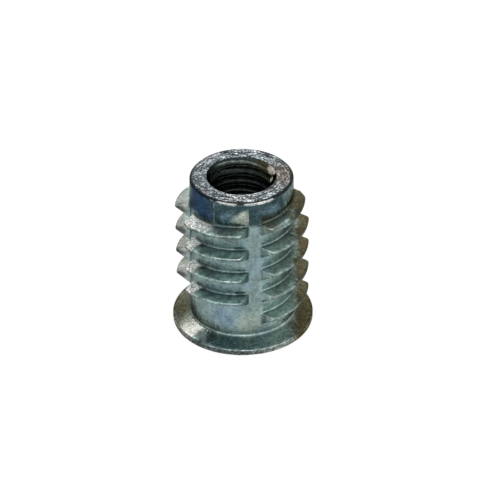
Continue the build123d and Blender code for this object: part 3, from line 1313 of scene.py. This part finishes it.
def tapped_bore_material(finish, grain):
    """Cut zinc in a very dark colour, painted shade of the deep bore, with painted light on the thread,
    painted glints on the mouth and fine tool marks round the bore.
    """
    mark_stretch = (0.3, 0.3, 6.0)
    marked = (0.35, 0.3)
    mark_cover = 0.5
    grain_contrast = 0.4
    crest_cover = 0.75
    flank_cover = 0.14
    crest_chalk = 0.6
    chalk = 0.8
    plain_roughness = 0.26
    rough_grain = 0.1
    mark_relief = 0.6
    relief_strength = 0.4
    relief_depth = 0.03 * MM
    material, tree = new_material("tapped_zinc")
    shader = tree.nodes["Principled BSDF"]
    place = tree.nodes.new("ShaderNodeTexCoord").outputs["Object"]
    _, _, height = coordinates(tree, place)
    stretch = tree.nodes.new("ShaderNodeMapping")
    stretch.inputs["Scale"].default_value = mark_stretch
    tree.links.new(place, stretch.inputs["Vector"])
    marks = noise(tree, stretch.outputs["Vector"], *TOOL_MARK_NOISE)
    shade, relief = place_grain(tree, grain, place, grain_contrast)

    # Very dark base colour, painted shade of the deep bore
    colour = mix_colours(tree, marks.ramp(*marked) * mark_cover, finish.shade_black, finish.cut)
    olive = film_spot(tree, place, marks, MOUTH_OLIVE) * COVER["mouth"]
    colour = mix_colours(tree, olive, colour, finish.olive)
    # Painted light on the thread's crests and flanks
    crest, flank = lit_thread(tree, height, place, marks)
    colour = mix_colours(tree, crest * crest_cover + flank * flank_cover, colour, finish.beige)
    chalky = crest * crest_chalk
    # Painted glints on the mouth of the bore
    for glint in MOUTH_GLINTS:
        spot = film_spot(tree, place, marks, glint)
        colour = mix_colours(tree, spot * COVER["glint"], colour, finish.thin)
        chalky = spot.math("MAXIMUM", chalky)
    colour = mix_colours(tree, 1.0, colour, shade.socket, "MULTIPLY")
    tree.links.new(colour, shader.inputs["Base Color"])
    tree.links.new((1.0 - chalky * chalk).socket, shader.inputs["Metallic"])
    shader.inputs["Specular Tint"].default_value = (*finish.cut, 1.0)
    roughness = (shade - 1.0) * rough_grain + plain_roughness
    tree.links.new(roughness.socket, shader.inputs["Roughness"])
    mixed_relief = marks * mark_relief + relief * (1.0 - mark_relief)
    add_relief(tree, shader, mixed_relief, relief_strength, relief_depth)
    return material


def floor_material(finish):
    """White paper floor: plain white to the camera, but still dark where the insert shades it."""
    paper_roughness = 0.9
    glow = 0.82
    white = (1.0, 1.0, 1.0, 1.0)
    material, tree = new_material("studio_floor")
    shader = tree.nodes["Principled BSDF"]
    shader.inputs["Base Color"].default_value = (*finish.floor, 1.0)
    shader.inputs["Roughness"].default_value = paper_roughness
    shader.inputs["Emission Color"].default_value = white
    tree.links.new((seen_directly(tree) * glow).socket, shader.inputs["Emission Strength"])
    return material


def seen_directly(tree):
    """1 for what the camera sees, also by a mirror or through glass, and 0 for light on its way."""
    path = tree.nodes.new("ShaderNodeLightPath")
    rays = [Field(tree, path.outputs[f"Is {kind} Ray"]) for kind in ("Camera", "Glossy", "Transmission")]
    return rays[0].math("MAXIMUM", rays[1]).math("MAXIMUM", rays[2])


def put_in_scene(name, mesh):
    """A new object at the origin, linked to the scene."""
    made = bpy.data.objects.new(name, mesh)
    bpy.context.scene.collection.objects.link(made)
    return made


class INSERT_OT_casting(bpy.types.Operator):
    """Builds the zinc casting with its threads, flange, bore and socket"""

    bl_idname = "insert.casting"
    bl_label = "Zinc Casting"

    def execute(self, context):
        sizes = context.scene.insert_sizes
        finish = context.scene.insert_finish
        grain = grain_group()
        tree = casting_tree(zinc_skin_material(finish, grain), tapped_bore_material(finish, grain))
        draft = put_in_scene("casting_draft", bpy.data.meshes.new("casting_draft"))
        modifier = draft.modifiers.new("casting", "NODES")
        modifier.node_group = tree
        labels = {InsertSizes.bl_rna.properties[name].name: name for name in InsertSizes.__annotations__}
        for item in tree.interface.items_tree:
            if item.name in labels:
                modifier[item.identifier] = getattr(sizes, labels[item.name])

        graph = context.evaluated_depsgraph_get()
        mesh = bpy.data.meshes.new_from_object(draft.evaluated_get(graph))
        mesh.name = "zinc_casting"
        draft.modifiers.remove(modifier)
        bpy.data.objects.remove(draft)
        if not mesh.polygons:
            raise RuntimeError("the casting's tree gave no faces")
        casting = put_in_scene("zinc_casting", mesh)
        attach(casting, "root")
        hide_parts("insert_body")
        return {"FINISHED"}


def around(azimuth, elevation, distance, centre):
    """A point seen from the centre; azimuth 0 is on -Y, and both angles are in degrees."""
    turn = math.radians(azimuth)
    rise = math.radians(elevation)
    direction = Vector(
        (math.sin(turn) * math.cos(rise), -math.cos(turn) * math.cos(rise), math.sin(rise))
    )
    return centre + direction * distance


def add_lamp(name, place, target, side, power):
    """A square soft box at a place, turned to the target."""
    lamp = bpy.data.lights.new(name, "AREA")
    lamp.shape = "SQUARE"
    lamp.size = side
    lamp.energy = power
    holder = put_in_scene(name, lamp)
    holder.location = place
    holder.rotation_mode = "QUATERNION"
    holder.rotation_quaternion = (target - place).to_track_quat("-Z", "Y")


class INSERT_OT_studio(bpy.types.Operator):
    """Sets the floor, the soft light and the camera"""

    bl_idname = "insert.studio"
    bl_label = "Studio"

    def execute(self, context):
        scene = context.scene
        scene.view_settings.view_transform = "Standard"
        self.add_floor(scene.insert_finish)
        self.add_world(scene)
        self.add_lamps()
        self.add_camera(scene)
        return {"FINISHED"}

    def add_floor(self, finish):
        """A wide flat floor under the flange."""
        half = 1.5
        mesh = bpy.data.meshes.new("studio_floor")
        corners = [(-half, -half, 0), (half, -half, 0), (half, half, 0), (-half, half, 0)]
        mesh.from_pydata(corners, [], [(0, 1, 2, 3)])
        mesh.materials.append(floor_material(finish))
        floor = put_in_scene("studio_floor", mesh)

    def add_world(self, scene):
        """A white sweep near the floor under a grey ceiling, with more light from the camera's side."""
        ceiling_edge = (0.1, 0.2)
        ceiling_dim = 0.55
        fill_azimuth = 5
        fill_elevation = 32
        fill_edge = (0.2, 0.6)
        fill_lift = 0.75
        white = (1.0, 1.0, 1.0, 1.0)
        world = bpy.data.worlds.new("studio_world")
        world.use_nodes = True
        scene.world = world
        tree = world.node_tree
        background = tree.nodes["Background"]
        place = tree.nodes.new("ShaderNodeTexCoord").outputs["Generated"]
        direction = around(fill_azimuth, fill_elevation, 1.0, Vector((0.0, 0.0, 0.0)))
        front = vector_math(tree, "DOT_PRODUCT", place, direction)
        _, _, up = coordinates(tree, place)
        ceiling = up.ramp(*ceiling_edge, "SMOOTHSTEP")
        fill = Field(tree, front.outputs["Value"]).ramp(*fill_edge, "SMOOTHSTEP")
        strength = 1.0 - ceiling * ceiling_dim + fill * fill_lift
        background.inputs["Color"].default_value = white
        tree.links.new(strength.socket, background.inputs["Strength"])

    def add_lamps(self):
        """A wide soft box behind, a small key one behind to the left, and a weak one in front."""
        centre = Vector((0.0, 0.0, 7.0 * MM))
        for name, (azimuth, elevation, side, power) in LAMPS.items():
            add_lamp(name, around(azimuth, elevation, LAMP_DISTANCE, centre), centre, side, power)

    def add_camera(self, scene):
        """A long lens at the height and side of the photograph."""
        azimuth = -13.3
        elevation = 34.2
        distance = 248.5 * MM
        lean = math.radians(-0.5)
        aim_across = 0.69 * MM
        aim_height = 7.07 * MM
        across = Vector((math.cos(math.radians(azimuth)), math.sin(math.radians(azimuth)), 0.0))
        aim = across * aim_across + Vector((0.0, 0.0, aim_height))
        data = bpy.data.cameras.new("camera")
        data.lens = 200
        data.sensor_width = 36
        data.clip_start = 0.01
        camera = put_in_scene("camera", data)
        place = around(azimuth, elevation, distance, aim)
        turn = (aim - place).to_track_quat("-Z", "Y").to_matrix().to_4x4()
        camera.matrix_world = Matrix.Translation(place) @ turn @ Matrix.Rotation(lean, 4, "Z")
        scene.camera = camera


class INSERT_PT_panel(bpy.types.Panel):
    """Steps and sizes of the insert"""

    bl_idname = "INSERT_PT_panel"
    bl_label = "Threaded Insert"
    bl_space_type = "VIEW_3D"
    bl_region_type = "UI"
    bl_category = "Insert"

    def draw(self, context):
        layout = self.layout
        layout.operator(INSERT_OT_casting.bl_idname)
        layout.operator(INSERT_OT_studio.bl_idname)
        for group in (context.scene.insert_sizes, context.scene.insert_finish):
            box = layout.box()
            for name in type(group).__annotations__:
                box.prop(group, name)


CLASSES = (InsertSizes, InsertFinish, INSERT_OT_casting, INSERT_OT_studio, INSERT_PT_panel)


def register():
    """Adds the classes and the scene's settings."""
    for item in CLASSES:
        bpy.utils.register_class(item)
    bpy.types.Scene.insert_sizes = PointerProperty(type=InsertSizes)
    bpy.types.Scene.insert_finish = PointerProperty(type=InsertFinish)


def unregister():
    """Takes the settings and the classes away again."""
    del bpy.types.Scene.insert_finish
    del bpy.types.Scene.insert_sizes
    for item in reversed(CLASSES):
        bpy.utils.unregister_class(item)


def main():
    """Builds the insert and its studio."""
    register()
    bpy.ops.insert.casting()
    bpy.ops.insert.studio()


if __name__ == "__main__":
    main()
